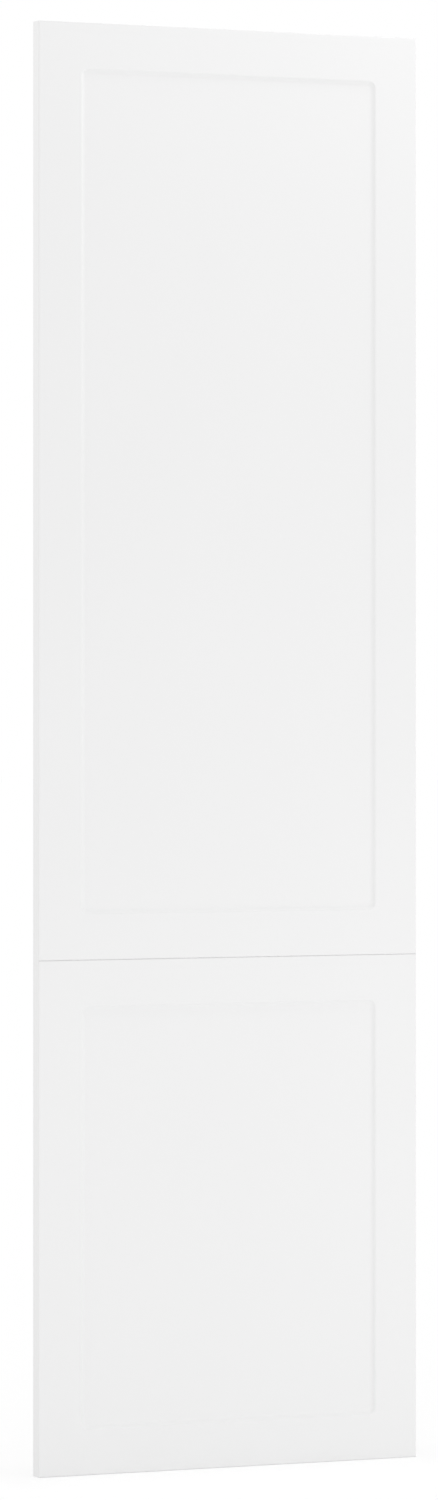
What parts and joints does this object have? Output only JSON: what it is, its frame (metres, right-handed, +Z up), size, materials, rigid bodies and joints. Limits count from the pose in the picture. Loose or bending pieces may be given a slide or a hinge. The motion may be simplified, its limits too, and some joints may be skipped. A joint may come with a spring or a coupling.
{
  "type": "furniture side panel",
  "caption": "Tall white side panel for a cabinet: an upper board stands on a lower one, each with a shallow framed recess milled into its face and a flat back that fixes to the carcass.",
  "frame": {"origin": "middle of the lower board's foot, at half the width and half the thickness", "axes": "+Z up the panel, -Y out of the milled face, +X to the right seen from the front"},
  "size_m": [0.58, 0.022, 2.03],
  "materials": {
    "white_foil": "smooth satin white foil pressed over a milled fibreboard"
  },
  "bodies": {
    "root": {"upper_panel": "white_foil", "lower_panel": "white_foil"}
  },
  "joints": []
}
